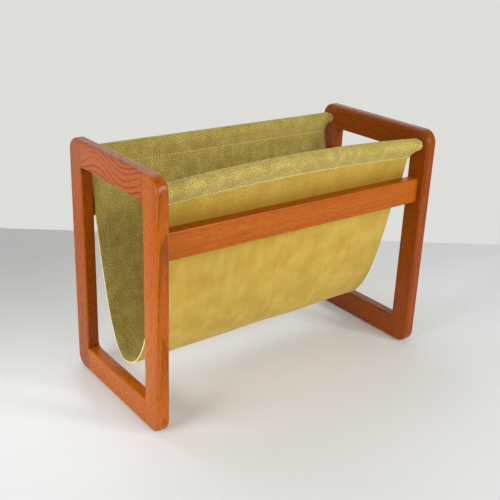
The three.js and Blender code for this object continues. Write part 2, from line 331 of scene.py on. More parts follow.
@dataclass(frozen=True)
class BrushedSuede:
    """Suede split, dyed and brushed: no gloss, a soft pale bloom at grazing angles, and cloudy nap.

    The nap lies one way in some patches and the other way in others, which gives paler and darker
    clouds that run up and down the sheet, over a fine speckle of fibre ends. Real fibre ends are
    under 1 mm apart; they are drawn wider so that they show.
    """

    name: str
    pale: str
    deep: str
    speckle_dark: str
    speckle: float
    speckle_width: float
    cloud: float
    cloud_width: float
    sheen: float
    # Painted shade and a more speckled nap above the side rail, where there is one.
    shade_and_nap_band: ShadeAndNapBand | None = None
    stroke_share: float = 0.3
    stroke_size: tuple[float, float] = (11 * MM, 55 * MM)
    nap_span: tuple[float, float] = (0.34, 0.66)
    speckle_span: tuple[float, float] = (0.57, 0.41)
    relief: float = 0.12 * MM
    bloom: str = "#F2E3A8"

    def material(self) -> Material:
        """Builds the material on the sheet's own map, whose unit is one metre of suede.

        Returns:
            The material of this face.
        """
        material, tree = new_material(self.name)
        place = add_node(tree, "TexCoord", {}, "UV")
        cloudy = {"Vector": place, "Scale": 1 / self.cloud_width, "Detail": 4.0}
        clouds = add_node(tree, "TexNoise", cloudy, "Fac")
        stretched = {"Vector": place, "Scale": (*self.stroke_size, 1)}
        along = add_node(tree, "Mapping", stretched, vector_type="TEXTURE")
        brushed = {"Vector": along, "Scale": 1.0, "Detail": 3.0, "Distortion": 0.6}
        strokes = add_node(tree, "TexNoise", brushed, "Fac")
        nap = add_node(tree, "Mix", {0: self.stroke_share, 2: clouds, 3: strokes}, data_type="FLOAT")
        nap_share = add_node(
            tree,
            "MapRange",
            [nap, *self.nap_span, 0.5 - self.cloud / 2, 0.5 + self.cloud / 2],
            interpolation_type="SMOOTHSTEP",
        )
        tones = {0: nap_share, 6: linear(self.deep), 7: linear(self.pale)}
        ground, speckle = add_node(tree, "Mix", tones, 2, data_type="RGBA"), self.speckle
        if self.shade_and_nap_band:
            ground, speckle = self.shade_and_nap_band.over(tree, ground, speckle)
        ends = {"Vector": place, "Scale": 1 / self.speckle_width, "Detail": 3.0, "Roughness": 0.6}
        fibre = add_node(tree, "TexNoise", ends, "Fac")
        dots = add_node(
            tree, "MapRange", [fibre, *self.speckle_span, 0.0, speckle], interpolation_type="SMOOTHSTEP"
        )
        tones = {0: dots, 6: ground, 7: linear(self.speckle_dark)}
        colour = add_node(tree, "Mix", tones, 2, data_type="RGBA")
        bump = add_node(tree, "Bump", {"Height": fibre, "Strength": 0.6, "Distance": self.relief})
        shader = add_node(
            tree,
            "BsdfPrincipled",
            {
                "Base Color": colour,
                "Roughness": 0.95,
                "Normal": bump,
                "Specular IOR Level": 0.15,
                "Sheen Weight": self.sheen,
                "Sheen Roughness": 0.45,
                "Sheen Tint": linear(self.bloom),
            },
        )
        add_node(tree, "OutputMaterial", {"Surface": shader})
        return material


@dataclass(frozen=True)
class CutOrThread:
    """Undyed fibre, the cut edge of the hide or waxed cotton thread: pale straw, matt, finely fuzzy."""

    name: str
    pale: str
    deep: str
    grain: float
    relief: float = 0.1 * MM

    def material(self) -> Material:
        """Builds the material: a fine noise mixes the pale and the deep tone.

        Returns:
            The material.
        """
        material, tree = new_material(self.name)
        place = add_node(tree, "TexCoord", {}, "Object")
        noise = add_node(tree, "TexNoise", {"Vector": place, "Scale": 1 / self.grain}, "Fac")
        tones = {0: noise, 6: linear(self.deep), 7: linear(self.pale)}
        colour = add_node(tree, "Mix", tones, 2, data_type="RGBA")
        bump = add_node(tree, "Bump", {"Height": noise, "Strength": 0.5, "Distance": self.relief})
        look = {"Base Color": colour, "Roughness": 0.85, "Normal": bump, "Specular IOR Level": 0.25}
        add_node(tree, "OutputMaterial", {"Surface": add_node(tree, "BsdfPrincipled", look)})
        return material


# ---------------------------------------------------------------- meshes


def tube_faces(rows: int, columns: int) -> np.ndarray:
    """Quads of a grid that closes on itself round its columns.

    Args:
        rows: how many rings of points.
        columns: how many points round a ring.

    Returns:
        (rows - 1) * columns quads of point numbers.
    """
    row, column = np.meshgrid(np.arange(rows - 1), np.arange(columns), indexing="ij")
    after = (column + 1) % columns
    corners = [row * columns + column, row * columns + after, (row + 1) * columns + after]
    corners.append((row + 1) * columns + column)
    return np.stack(corners, axis=-1).reshape(-1, 4)


def run_length(line: np.ndarray) -> np.ndarray:
    """Distance of each point of a line from its start, along the line."""
    return np.concatenate([[0], np.cumsum(np.linalg.norm(np.diff(line, axis=0), axis=1))])


def at_distances(wanted: np.ndarray, distance: np.ndarray, values: np.ndarray) -> np.ndarray:
    """Values of a line's points, worked out between them for each wanted distance."""
    return np.stack([np.interp(wanted, distance, column) for column in values.T], axis=1)


def smooth_step(value: np.ndarray, low: float, high: float) -> np.ndarray:
    """0 below low, 1 above high, and 3t^2 - 2t^3 in between."""
    share = np.clip((value - low) / (high - low), 0, 1)
    return share * share * (3 - 2 * share)


def volume(points: np.ndarray, faces: list[list[int]]) -> float:
    """Signed volume of a closed mesh: one sixth of the sum of each fan triangle's triple product.

    Args:
        points: the mesh's points.
        faces: its faces.

    Returns:
        A positive volume where the faces point outwards.
    """
    fans = [(face[0], face[i], face[i + 1]) for face in faces for i in range(1, len(face) - 1)]
    a, b, c = (points[np.array(corner)] for corner in zip(*fans, strict=True))
    return float(np.einsum("ij,ij->i", a, np.cross(b, c)).sum() / 6)


def make_piece(
    name: str, points: np.ndarray, faces: list[list[int]], materials: list[Material]
) -> Object:
    """Makes a closed, smooth-shaded mesh object whose faces point outwards.

    Args:
        name: the piece's name.
        points: its points, in the frame of the whole rack.
        faces: its faces, all turned the same way.
        materials: its materials in slot order.

    Returns:
        The object, at the origin.
    """
    if volume(points, faces) < 0:
        faces = [face[::-1] for face in faces]
    mesh = bpy.data.meshes.new(name)
    mesh.from_pydata(points.tolist(), [], faces)
    mesh.polygons.foreach_set("use_smooth", np.ones(len(faces), bool))
    mesh.set_sharp_from_angle(angle=SHARP_ANGLE)
    for material in materials:
        mesh.materials.append(material)
    piece = bpy.data.objects.new(name, mesh)
    bpy.context.scene.collection.objects.link(piece)
    return piece


def loft(name: str, rings: np.ndarray, material: Material) -> Object:
    """Closes a row of rings into a bar with a flat face at each end.

    Args:
        name: the piece's name.
        rings: points as (stations, points round, 3).
        material: its material.

    Returns:
        The bar, with area-weighted normals so that its flats stay flat.
    """
    rows, columns = rings.shape[:2]
    faces = tube_faces(rows, columns).tolist()
    faces.append(list(range(columns))[::-1])
    faces.append(list(range((rows - 1) * columns, rows * columns)))
    piece = make_piece(name, rings.reshape(-1, 3), faces, [material])
    weighted = piece.modifiers.new("flat_faces", "WEIGHTED_NORMAL")
    weighted.keep_sharp = True
    return piece


def stand_for(piece: Object, node: str) -> None:
    """Lets a piece take a CAD node's place.

    Args:
        piece: the new piece.
        node: the CAD node that it stands for.
    """
    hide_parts(node)
    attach(piece, "root")
    log.info("%s stands for %s: %d faces", piece.name, node, len(piece.data.polygons))


# ---------------------------------------------------------------- wooden members


@dataclass(frozen=True)
class Edge:
    """One long edge of a flat member: its points, the way it faces, and how far it is rounded over."""

    points: np.ndarray
    outward: np.ndarray
    rounding: np.ndarray

    def quarter(self) -> tuple[np.ndarray, np.ndarray]:
        """Quarter round from a face to this edge.

        At turn t the thickness has shrunk by r(1 - cos t) and the point lies r(1 - sin t) inside the edge.

        Returns:
            The shrinkage as (stations, steps) and the points as (stations, steps, 2).
        """
        turn = np.linspace(0, QUARTER_TURN, ROUND_STEPS + 1)
        shrink = self.rounding[:, None] * (1 - np.cos(turn))
        inside = self.rounding[:, None] * (1 - np.sin(turn))
        return shrink, self.points[:, None] - self.outward[:, None] * inside[..., None]


def level_edge(run: np.ndarray, height: float, up: float, rounding: np.ndarray | float) -> Edge:
    """A level edge at one height.

    Args:
        run: places along it.
        height: its height.
        up: 1 where it faces up, -1 where it faces down.
        rounding: its rounding, the same all along or at each place.

    Returns:
        The edge.
    """
    points = np.stack([run, np.full_like(run, height)], axis=1)
    return Edge(points, np.tile((0.0, up), (len(run), 1)), np.broadcast_to(rounding, run.shape))


def plate_rings(one: Edge, other: Edge, low: float, high: float) -> np.ndarray:
    """Rings round a flat member that lies between two long edges.

    Args:
        one: the first edge.
        other: the edge across from it, with as many stations.
        low: the lower face's place along the thickness.
        high: the higher face's place.

    Returns:
        Points as (stations, points round, 3): thickness, then the edges' own two coordinates.
    """
    shrink_one, at_one = one.quarter()
    shrink_other, at_other = other.quarter()
    thickness = [high - shrink_one, (low + shrink_one)[:, ::-1], low + shrink_other]
    thickness.append((high - shrink_other)[:, ::-1])
    flat = np.concatenate([at_one, at_one[:, ::-1], at_other, at_other[:, ::-1]], axis=1)
    return np.concatenate([np.concatenate(thickness, axis=1)[..., None], flat], axis=-1)


@dataclass(frozen=True)
class EndFrame:
    """A rounded end frame of two full-height posts with a top and a bottom rail glued between them."""

    side: str
    finishes: dict[str, OiledTeak]
    corner_radius: float = 20 * MM
    outer_rounding: float = 5 * MM
    opening_rounding: float = 3 * MM
    rounding_fade: float = 11 * MM
    joint_ease: float = 0.2 * MM
    corner_steps: int = 10
    foot_steps: int = 4
    fade_steps: int = 8
    run_steps: int = 12

    def opening_round(self, place: np.ndarray, start: float, end: float) -> np.ndarray:
        """Rounding along an opening's edge: full in the middle, run out at both of its sharp corners.

        Args:
            place: places along the member.
            start: where the opening starts.
            end: where it ends.

        Returns:
            The rounding at each place.
        """
        grow = smooth_step(place, start, start + self.rounding_fade)
        fall = 1 - smooth_step(place, end - self.rounding_fade, end)
        return np.maximum(self.joint_ease, self.opening_rounding * grow * fall)

    def fine_run(self, start: float, end: float) -> np.ndarray:
        """Places along an opening, closer together where its rounding runs out.

        Args:
            start: where the opening starts.
            end: where it ends.

        Returns:
            The places, with both ends.
        """
        fade = self.rounding_fade
        return np.concatenate(
            [
                np.linspace(start, start + fade, self.fade_steps, endpoint=False),
                np.linspace(start + fade, end - fade, self.run_steps, endpoint=False),
                np.linspace(end - fade, end, self.fade_steps + 1),
            ]
        )

    def member(self, node: str, rings: np.ndarray) -> None:
        """Makes a member from its rings and lets it stand for its CAD node.

        Args:
            node: the member's CAD name.
            rings: its points as (stations, points round, 3).
        """
        stand_for(loft(f"{node}_teak", rings, self.finishes[node].material()), node)

    def post(self, face: str) -> None:
        """Builds one post.

        Its outer edge runs out from the joint, round the lower corner, up, and round the upper corner
        back to the other joint. Its inner edge is straight, between the ends of the roundings.

        Args:
            face: front or back.
        """
        node = f"{self.side}_{face}_post"
        low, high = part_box(node)
        opening = (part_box(f"{self.side}_bottom_rail")[1].z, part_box(f"{self.side}_top_rail")[0].z)
        sign = -1 if face == "front" else 1
        joint, far = sorted((abs(low.y), abs(high.y)))
        radius = self.corner_radius
        turns = np.linspace(0, QUARTER_TURN, self.corner_steps, endpoint=False)
        sine, cosine = np.sin(turns), np.cos(turns)
        foot = np.linspace(joint, far - radius, self.foot_steps, endpoint=False)
        inner_run = self.fine_run(*opening)
        rise = np.interp(inner_run, opening, (low.z + radius, high.z - radius))
        # The lower end of the outer edge as points and facings; the upper end mirrors it.
        corner = np.stack([far - radius + radius * sine, low.z + radius - radius * cosine], axis=1)
        lower = np.concatenate([np.stack([foot, np.full_like(foot, low.z)], axis=1), corner])
        lower_out = np.concatenate(
            [np.tile((0.0, -1.0), (len(foot), 1)), np.stack([sine, -cosine], axis=1)]
        )
        middle = np.stack([np.full_like(rise, far), rise], axis=1)
        middle_out = np.tile((1.0, 0.0), (len(rise), 1))
        upper = lower[::-1] * (1, -1) + (0, low.z + high.z)
        outer = Edge(
            np.concatenate([lower, middle, upper]) * (sign, 1),
            np.concatenate([lower_out, middle_out, lower_out[::-1] * (1, -1)]) * (sign, 1),
            np.full(2 * len(lower) + len(rise), self.outer_rounding),
        )
        bottom, top, ends = low.z + self.outer_rounding, high.z - self.outer_rounding, len(lower)
        inner_rise = np.concatenate(
            [
                np.linspace(bottom, opening[0], ends, endpoint=False),
                inner_run,
                np.linspace(top, opening[1], ends, endpoint=False)[::-1],
            ]
        )
        inner = Edge(
            np.stack([np.full_like(inner_rise, sign * joint), inner_rise], axis=1),
            np.tile((-float(sign), 0.0), (len(inner_rise), 1)),
            self.opening_round(inner_rise, *opening),
        )
        self.member(node, plate_rings(outer, inner, low.x, high.x))

    def rail(self, level: str) -> None:
        """Builds one rail of the frame: a straight bar with its outer and its opening edges rounded.

        Args:
            level: top or bottom.
        """
        node = f"{self.side}_{level}_rail"
        low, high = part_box(node)
        up = 1.0 if level == "top" else -1.0
        outside, inside = (high.z, low.z) if level == "top" else (low.z, high.z)
        run = self.fine_run(low.y, high.y)
        outer = level_edge(run, outside, up, self.outer_rounding)
        inner = level_edge(run, inside, -up, self.opening_round(run, low.y, high.y))
        self.member(node, plate_rings(outer, inner, low.x, high.x))

    def build(self) -> None:
        """Builds the frame's posts and rails."""
        for face in ("front", "back"):
            self.post(face)
        for level in ("top", "bottom"):
            self.rail(level)


@dataclass(frozen=True)
class SideRail:
    """A straight rail butted between the two end frames, with lightly eased long edges."""

    face: str
    finish: OiledTeak
    easing: float = 2 * MM
    stations: int = 25

    def build(self) -> None:
        """Builds the rail as a plate whose thickness is its depth."""
        node = f"{self.face}_side_rail"
        low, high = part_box(node)
        run = np.linspace(low.x, high.x, self.stations)
        upper = level_edge(run, high.z, 1.0, self.easing)
        lower = level_edge(run, low.z, -1.0, self.easing)
        rings = plate_rings(upper, lower, low.y, high.y)[..., (1, 0, 2)]
        stand_for(loft(f"{node}_teak", rings, self.finish.material()), node)


# ---------------------------------------------------------------- rods


@dataclass(frozen=True)
class Rod:
    """A round rod held in blind sockets, which may bow upwards a little between the frames."""

    face: str
    free_span: float
    segments: int = 40
    stations: int = 41

    @property
    def node(self) -> str:
        """Name of the CAD rod."""
        return f"{self.face}_rod"

    @property
    def radius(self) -> float:
        """Half the rod's depth, which the bow doesn't change."""
        low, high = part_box(self.node)
        return (high.y - low.y) / 2

    @property
    def centre(self) -> tuple[float, float]:
        """Depth and height of its middle line at its ends."""
        low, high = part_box(self.node)
        return (low.y + high.y) / 2, low.z + self.radius

    @property
    def rise(self) -> float:
        """How far its middle is lifted above its ends."""
        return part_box(self.node)[1].z - self.centre[1] - self.radius

    def lift(self, along: np.ndarray) -> np.ndarray:
        """Lift at each place along the rack: the rise times one minus the squared share of the half span."""
        share = np.minimum(1, np.abs(2 * along) / self.free_span)
        return self.rise * (1 - share**2)

    def build(self, material: Material) -> None:
        """Builds the rod: a circle carried along its bowed middle line.

        Args:
            material: the rod's material.
        """
        low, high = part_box(self.node)
        depth, height = self.centre
        run = np.linspace(low.x, high.x, self.stations)
        turn = np.linspace(0, FULL_TURN, self.segments, endpoint=False)
        rings = np.stack(
            [
                np.tile(run[:, None], (1, self.segments)),
                np.tile(depth + self.radius * np.cos(turn), (self.stations, 1)),
                height + self.lift(run)[:, None] + self.radius * np.sin(turn),
            ],
            axis=-1,
        )
        stand_for(loft(f"{self.node}_dowel", rings, material), self.node)


# ---------------------------------------------------------------- sling


@dataclass(frozen=True)
class Hem:
    """One hem of the sling: the sheet comes up inside the rod, goes over it, and is stitched to itself."""

    rod: Rod
    contact: np.ndarray
    sign: float
    thickness: float
    looseness: float = 0.4 * MM
    stitch_drop: float = 20 * MM
    flap: float = 1.6 * MM
    bend_steps: int = 160

    @property
    def axes(self) -> tuple[np.ndarray, np.ndarray]:
        """The hem's own directions.

        Returns:
            Unit vectors (depth, height) from the rod down to the rail, and across, away from the pocket.
        """
        down = self.contact - np.array(self.rod.centre)
        down = down / np.linalg.norm(down)
        return down, np.array([-down[1], down[0]]) * self.sign

    def line(self) -> np.ndarray:
        """The sheet's middle line from the flap's end, over the rod, to the top inner edge of the side rail.

        Two straight tangents run from the stitches to a circle round the rod, one on each side.

        Returns:
            Points as (depth, height).
        """
        down, across = self.axes
        radius = self.rod.radius + self.looseness + self.thickness / 2
        half = self.thickness / 2
        reach = math.hypot(half, self.stitch_drop)
        tangent = math.atan2(half, self.stitch_drop) + math.acos(radius / reach)
        turn = np.linspace(tangent, FULL_TURN - tangent, self.bend_steps)
        local = np.concatenate(
            [
                [(half, self.stitch_drop + self.flap), (half, self.stitch_drop)],
                np.stack([radius * np.sin(turn), radius * np.cos(turn)], axis=1),
                [(-half, self.stitch_drop)],
            ]
        )
        line = np.array(self.rod.centre) + local[:, :1] * across + local[:, 1:] * down
        return np.concatenate([line, [self.contact]])

    def drop(self, section: np.ndarray) -> np.ndarray:
        """How far each (depth, height) point is below the rod, along the hem."""
        return (section - np.array(self.rod.centre)) @ self.axes[0]


@dataclass(frozen=True)
class SheetSurface:
    """The sling's middle surface: points and steps out to its skin by row and column, distance by row."""

    points: np.ndarray
    offset: np.ndarray
    distance: np.ndarray

    def flat_area(self) -> float:
        """Area of the flat cut: its width at each distance along the sheet, summed over that distance."""
        width = self.points[:, -1, 0] - self.points[:, 0, 0]
        return float(np.sum((width[1:] + width[:-1]) / 2 * np.diff(self.distance)))


@dataclass(frozen=True)
class Sling:
    """One sheet of suede hung between the rods, cut with straight sides that widen to the hems."""

    rods: tuple[Rod, Rod]
    thickness: float = 1.9 * MM
    rail_gap: float = 0.4 * MM
    left_ear: float = 228.3 * MM
    right_ear: float = 224.5 * MM
    ear_drop: float = 5 * MM
    shift: float = -7.5 * MM
    half_width_at_rail: float = 221.5 * MM
    half_width_at_floor: float = 216 * MM
    pocket_floor: float = 47.2 * MM
    pocket_lean: float = 20 * MM
    floor_tilt: float = 3 * MM
    front_entry: tuple[float, float] = (27 * MM, -68 * MM)
    back_entry: tuple[float, float] = (0.0, -60 * MM)
    front_belly: float = 80 * MM
    back_belly: float = 40 * MM
    curve_steps: int = 400
    softening: float = 1.3 * MM
    sample_step: float = 0.2 * MM
    hem_length: float = 112 * MM
    hem_pitch: float = 1.7 * MM
    pocket_pitch: float = 4.4 * MM
    width_steps: int = 146
    side_crowding: float = 0.35
    ripple: float = 0.45 * MM
    ripple_count: int = 9
    ripple_widths: tuple[float, float] = (90 * MM, 260 * MM)
    ripple_lengths: tuple[float, float] = (160 * MM, 520 * MM)
    ripple_strengths: tuple[float, float] = (0.4, 1.0)
    ripple_start: float = 12 * MM
    ripple_full: float = 90 * MM
    flap_thinning: float = 0.55
    flap_taper: float = 6 * MM
    flap_reach: float = 12 * MM
    stitch_search: float = 2.5 * MM

    def hem(self, index: int) -> Hem:
        """Works out a hem from its rod and from the side rail that the sheet hangs against.

        Args:
            index: 0 for the front hem, 1 for the back hem.

        Returns:
            The hem.
        """
        sign = (-1.0, 1.0)[index]
        low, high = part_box(f"{('front', 'back')[index]}_side_rail")
        inner = high.y if sign < 0 else low.y
        contact = np.array([inner - sign * (self.rail_gap + self.thickness / 2), high.z])
        return Hem(self.rods[index], contact, sign, self.thickness)

    def drop_curve(self, hem: Hem, entry: tuple[float, float], belly: float) -> np.ndarray:
        """Cubic Bezier curve from the rail to the bottom of the pocket.

        Args:
            hem: the hem it hangs from.
            entry: offset of the first handle from the rail.
            belly: length of the level handle at the bottom.

        Returns:
            Points as (depth, height).
        """
        bottom = np.array([self.pocket_lean, self.pocket_floor + self.thickness / 2])
        share = np.linspace(0, 1, self.curve_steps)[:, None]
        corners = [hem.contact, hem.contact + entry, bottom + (hem.sign * belly, 0), bottom]
        weights = [(1 - share) ** 3, 3 * share * (1 - share) ** 2, 3 * share**2 * (1 - share), share**3]
        return sum(weight * corner for weight, corner in zip(weights, corners, strict=True))

    def section(self) -> tuple[np.ndarray, np.ndarray]:
        """The sheet's middle line from the front flap to the back flap, softened where it would kink.

        The line is sampled evenly, smoothed with a bell-shaped window, and sampled again: closely over
        the hems and less closely in the pocket.

        Returns:
            Points as (depth, height), and the distance of each along the sheet.
        """
        front, back = self.hem(0), self.hem(1)
        line = np.concatenate(
            [
                front.line()[:-1],
                self.drop_curve(front, self.front_entry, self.front_belly),
                self.drop_curve(back, self.back_entry, self.back_belly)[::-1][1:],
                back.line()[::-1][1:],
            ]
        )
        distance = run_length(line)
        even = np.arange(0, distance[-1], self.sample_step)
        reach = int(3 * self.softening / self.sample_step)
        window = np.exp(-0.5 * (np.arange(-reach, reach + 1) * self.sample_step / self.softening) ** 2)
        window /= window.sum()
        padding = ((reach, reach), (0, 0))
        padded = np.pad(at_distances(even, distance, line), padding, mode="reflect", reflect_type="odd")
        fine = np.stack([np.convolve(column, window, mode="valid") for column in padded.T], axis=1)
        hem_end, pocket_end = self.hem_length, even[-1] - self.hem_length
        hem_steps = int(hem_end / self.hem_pitch)
        pocket_steps = int((even[-1] - 2 * hem_end) / self.pocket_pitch)
        chosen = np.concatenate(
            [
                np.linspace(0, hem_end, hem_steps, endpoint=False),
                np.linspace(hem_end, pocket_end, pocket_steps, endpoint=False),
                np.linspace(pocket_end, even[-1], hem_steps + 1),
            ]
        )
        return at_distances(chosen, even, fine), chosen

    def side_edges(self, section: np.ndarray) -> tuple[np.ndarray, np.ndarray]:
        """Left and right edges of the sheet at each point of its section.

        Below the stitches the sides are nearly straight. Above them a quarter curve widens the hem:
        with w the share of the way up from the stitches, the widening is (1 - sqrt(1 - w))^2.

        Args:
            section: points as (depth, height).

        Returns:
            The left and the right edge along the rack.
        """
        heights = (self.pocket_floor, self.hem(0).contact[1])
        half = np.interp(section[:, 1], heights, (self.half_width_at_floor, self.half_width_at_rail))
        widening = np.zeros(len(section))
        for index, near in ((0, section[:, 0] < 0), (1, section[:, 0] >= 0)):
            hem = self.hem(index)
            up = hem.stitch_drop - hem.drop(section)
            share = np.clip(up / (hem.stitch_drop - self.ear_drop), 0, 1)
            widening = np.where(near, (1 - np.sqrt(1 - share)) ** 2, widening)
        left = self.shift - half
        right = self.shift + half
        return left - (self.left_ear + left) * widening, right + (self.right_ear - right) * widening

    def ripples(self, along: np.ndarray, distance: np.ndarray) -> np.ndarray:
        """Gentle hollows and swells of the hanging hide: a seeded sum of slow sines.

        Args:
            along: places along the rack.
            distance: distances along the sheet.

        Returns:
            How far the sheet stands off its middle surface.
        """
        random = np.random.default_rng(SEED)
        total = np.zeros(np.broadcast(along, distance).shape)
        for _ in range(self.ripple_count):
            width, length = random.uniform(*self.ripple_widths), random.uniform(*self.ripple_lengths)
            phase, strength = random.uniform(0, FULL_TURN), random.uniform(*self.ripple_strengths)
            total += strength * np.sin(FULL_TURN * (along / width + distance / length) + phase)
        return self.ripple * total / math.sqrt(self.ripple_count)

    def surface(self) -> SheetSurface:
        """Works out the sheet's middle surface: its section, carried along the rack from side to side.

        Each hem follows its rod's bow, the pocket's floor is tilted a little, and the ripples grow in
        below the rails. The flaps get thinner to their ends.

        Returns:
            The surface, whose offsets point out of the sheet's smooth face.
        """
        section, distance = self.section()
        left, right = self.side_edges(section)
        share = np.linspace(0, 1, self.width_steps)
        # Points crowd a little towards the two free sides.
        share = share - self.side_crowding * np.sin(FULL_TURN * share) / FULL_TURN
        along = left[:, None] + (right - left)[:, None] * share
        depth = np.tile(section[:, :1], (1, self.width_steps))
        height = np.tile(section[:, 1:], (1, self.width_steps))
        rail = self.hem(0).contact[1]
        hem_bottom = self.rods[0].centre[1] - self.rods[0].radius - self.thickness
        for rod, near in ((self.rods[0], depth < 0), (self.rods[1], depth >= 0)):
            height = height + np.where(near, rod.lift(along) * smooth_step(height, rail, hem_bottom), 0)
        low_share = 1 - smooth_step(height, self.pocket_floor, rail)
        height = height + self.floor_tilt * along / self.half_width_at_floor * low_share
        points = np.stack([along, depth, height], axis=-1)
        normals = np.cross(np.gradient(points, axis=0), np.gradient(points, axis=1))
        normals /= np.linalg.norm(normals, axis=-1, keepdims=True)
        pocket = smooth_step(rail - height, self.ripple_start, self.ripple_full)
        points = points + normals * (self.ripples(along, distance[:, None]) * pocket)[..., None]
        to_end = np.minimum(distance, distance[-1] - distance)
        thinning = self.flap_thinning * (1 - smooth_step(to_end, 0, self.flap_taper))
        offset = normals * (self.thickness * (1 - thinning) / 2)[:, None, None]
        if normals[len(normals) // 2, 0, 2] > 0:
            offset = -offset
        return SheetSurface(points, offset, distance)

    def build(self, surface: SheetSurface, faces_finish: list[Material]) -> Object:
        """Builds the sheet as a closed skin: smooth face, rough face and cut edges.

        Args:
            surface: its middle surface.
            faces_finish: materials of the smooth face, the rough face and the cut edge.

        Returns:
            The sling, with a map whose unit is one metre of suede.
        """
        points, offset = surface.points, surface.offset
        rows, columns = points.shape[:2]
        rings = np.concatenate([points + offset, (points - offset)[:, ::-1]], axis=1)
        column = np.tile(np.arange(2 * columns), rows - 1)
        kind = np.where(column < columns - 1, 0, 1)
        kind[(column == columns - 1) | (column == 2 * columns - 1)] = 2
        step = np.arange(columns - 1)
        mirror = 2 * columns - 1 - step
        start_cap = np.stack([step + 1, step, mirror, mirror - 1], axis=1)
        end_cap = (rows - 1) * 2 * columns + start_cap[:, ::-1]
        faces = np.concatenate([tube_faces(rows, 2 * columns), start_cap, end_cap])
        kinds = np.concatenate([kind, np.full(2 * len(start_cap), 2)])
        piece = make_piece("sling_suede", rings.reshape(-1, 3), faces.tolist(), faces_finish)
        mesh = piece.data
        mesh.polygons.foreach_set("material_index", kinds.astype(np.int32))
        down = np.broadcast_to(surface.distance[:, None], (rows, columns))
        plain = np.stack([points[..., 0], down], axis=-1)
        flat_map = np.concatenate([plain, plain[:, ::-1]], axis=1).reshape(-1, 2)
        corner = np.empty(len(mesh.loops), np.int32)
        mesh.loops.foreach_get("vertex_index", corner)
        mesh.uv_layers.new(name="suede").data.foreach_set("uv", flat_map[corner].astype(np.float32).ravel())
        stand_for(piece, "sling")
        return piece

    def stitch_lines(self, index: int, surface: SheetSurface) -> list[StitchLine]:
        """Finds the rows of the sheet that a hem's stitches come out of: the flap's and the sheet's own.

        Args:
            index: 0 for the front hem, 1 for the back hem.
            surface: the sheet's middle surface.

        Returns:
            The two rows' stitch lines, on the sheet's skin.
        """
        hem = self.hem(index)
        points, offset, distance = surface.points, surface.offset, surface.distance
        drop = hem.drop(points[:, 0, 1:])
        near = np.sign(points[:, 0, 1]) == hem.sign
        close = np.where(near & (np.abs(drop - hem.stitch_drop) < self.stitch_search))[0]
        by_end = [close[np.abs(distance[close] - distance[end]) < self.flap_reach] for end in (0, -1)]
        flap = next(rows for rows in by_end if len(rows))
        lines = []
        for rows in (flap, close[~np.isin(close, flap)]):
            row = rows[np.argmin(np.abs(drop[rows] - hem.stitch_drop))]
            outward = -offset[row] / np.linalg.norm(offset[row], axis=1)[:, None]
            lines.append((points[row] - offset[row], outward))
        return lines


@dataclass(frozen=True)
class HemStitching:
    """Thread stitches along a hem, seen on both faces of its two layers."""

    name: str
    pitch: float = 4.8 * MM
    length: float = 2.9 * MM
    length_shares: tuple[float, float] = (0.9, 1.05)
    thread: float = 1.1 * MM
    stand_out: float = 0.55
    sink: float = 0.75
    end_margin: float = 5 * MM
    sides: int = 6
    rings: int = 6
    tip_share: float = 0.04
    slant: float = math.radians(26)
    slant_spread: float = math.radians(3)

    def row(self, line: np.ndarray, outward: np.ndarray, random: np.random.Generator) -> np.ndarray:
        """Stitches laid along a line on the surface.

        A stitch is a short tube whose radius and height above the suede follow the root of a half sine
        along its length, so that both of its ends sink in.

        Args:
            line: points along the row.
            outward: unit normals there.
            random: source of each stitch's small turn and length.

        Returns:
            Points as (stitches, rings, sides, 3).
        """
        distance = run_length(line)
        centres = np.arange(self.end_margin, distance[-1] - self.end_margin, self.pitch)
        at, out = at_distances(centres, distance, line), at_distances(centres, distance, outward)
        out /= np.linalg.norm(out, axis=1, keepdims=True)
        run = np.gradient(at, axis=0)
        run /= np.linalg.norm(run, axis=1, keepdims=True)
        side = np.cross(out, run)
        angle = self.slant + random.normal(0, self.slant_spread, len(at))[:, None]
        run, side = run * np.cos(angle) + side * np.sin(angle), side * np.cos(angle) - run * np.sin(angle)
        length = self.length * random.uniform(*self.length_shares, len(at))[:, None, None, None]
        share = np.linspace(self.tip_share, 1 - self.tip_share, self.rings)
        bulge = np.sqrt(np.sin(math.pi * share))[None, :, None, None]
        turn = np.linspace(0, FULL_TURN, self.sides, endpoint=False)[None, None, :, None]
        radius = self.thread / 2 * bulge
        lift = self.thread * self.stand_out * (bulge - self.sink)
        return (
            at[:, None, None]
            + run[:, None, None] * (share[None, :, None, None] - 0.5) * length
            + side[:, None, None] * radius * np.cos(turn)
            + out[:, None, None] * (radius * np.sin(turn) + lift)
        )

    def build(self, rows: list[StitchLine], material: Material) -> Object:
        """Builds every stitch of the hem as one mesh.

        Args:
            rows: the stitch line of each row that can be seen.
            material: the thread's material.

        Returns:
            The stitching.
        """
        random = np.random.default_rng(SEED + len(self.name))
        stitches = np.concatenate([self.row(line, outward, random) for line, outward in rows])
        count, per = len(stitches), self.rings * self.sides
        first = (np.arange(count) * per)[:, None, None]
        faces = (tube_faces(self.rings, self.sides)[None] + first).reshape(-1, 4).tolist()
        ends = np.array([np.arange(self.sides)[::-1], per - self.sides + np.arange(self.sides)])
        faces += (ends[None] + first).reshape(-1, self.sides).tolist()
        piece = make_piece(self.name, stitches.reshape(-1, 3), faces, [material])
        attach(piece, "root")
        log.info("%s: %d stitches", self.name, count)
        return piece


# ---------------------------------------------------------------- studio


